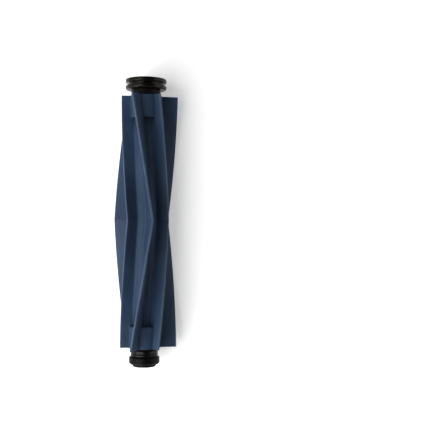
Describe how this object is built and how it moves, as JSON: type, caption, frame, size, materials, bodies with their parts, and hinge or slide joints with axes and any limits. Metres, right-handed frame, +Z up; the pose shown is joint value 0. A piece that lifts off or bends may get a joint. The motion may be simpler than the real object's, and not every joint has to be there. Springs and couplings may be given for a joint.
{
  "type": "robot vacuum roller brush",
  "caption": "Robot vacuum roller brush: soft sleeve with tall and short V-shaped fins on a stiff core, a free-turning flanged bearing spool at one end and a square drive socket at the other.",
  "frame": {"origin": "on the floor under the middle of the brush, which lies on its fins as it comes to rest", "axes": "+Z up from the floor, +Y along the turning line towards the idler spool, +X across"},
  "size_m": [0.0422, 0.1906, 0.0379],
  "materials": {
    "blue_rubber": "satin",
    "black_plastic": "satin",
    "gloss_black": "gloss",
    "matte_black": "matte",
    "steel": "satin",
    "bearing_steel": "polished",
    "cage_nylon": "matte"
  },
  "bodies": {
    "brush": {"fin_sleeve": "blue_rubber", "core_tube": "black_plastic", "idler_plug": "black_plastic", "axle_pin": "steel", "retaining_clip": "steel", "bearing_inner_ring": "bearing_steel", "drive_hub": "gloss_black", "drive_cap": "matte_black", "cap_screw": "steel"},
    "spool": {"bearing_spool": "gloss_black", "spool_cap": "gloss_black", "bearing_outer_ring": "bearing_steel", "bearing_shield_inner": "steel", "bearing_shield_outer": "steel"},
    "ball_cage": {"bearing_cage": "cage_nylon", "ball_1": "bearing_steel", "ball_2": "bearing_steel", "ball_3": "bearing_steel", "ball_4": "bearing_steel", "ball_5": "bearing_steel", "ball_6": "bearing_steel", "ball_7": "bearing_steel"}
  },
  "joints": [
    {"name": "spool_spin", "type": "hinge", "parent": "brush", "child": "spool", "pos_m": [0, 0.089, 0.01662], "axis": [0, 1, 0], "continuous": true},
    {"name": "cage_spin", "type": "hinge", "parent": "brush", "child": "ball_cage", "pos_m": [0, 0.089, 0.01662], "axis": [0, 1, 0], "continuous": true}
  ],
  "couplings": [
    {"joint": "cage_spin", "follows": "spool_spin", "ratio": 0.6111}
  ]
}
